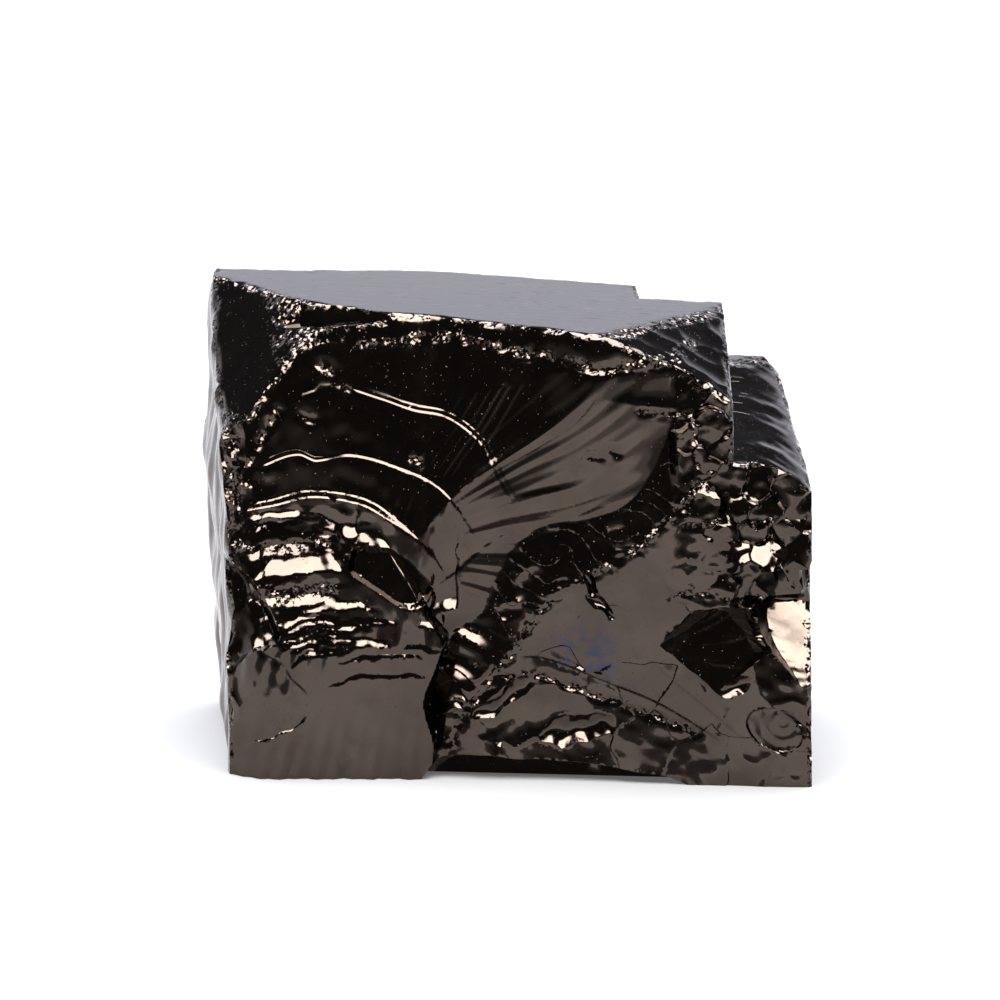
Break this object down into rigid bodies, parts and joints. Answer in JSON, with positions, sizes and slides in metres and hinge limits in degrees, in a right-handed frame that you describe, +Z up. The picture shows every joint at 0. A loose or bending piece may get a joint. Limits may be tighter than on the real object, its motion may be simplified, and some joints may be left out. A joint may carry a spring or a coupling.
{
  "type": "raw shungite",
  "caption": "Broken block of glassy black shungite with a smooth flat top, shell-shaped fracture faces and a flat underside to rest on.",
  "frame": {"origin": "middle of the flat underside, on the surface the stone rests on", "axes": "+Z up, -Y towards the viewer of the large broken face, +X to the viewer's right"},
  "size_m": [0.0516, 0.0362, 0.0386],
  "materials": {
    "stone": "polished"
  },
  "bodies": {
    "root": {"stone": "stone"}
  },
  "joints": []
}
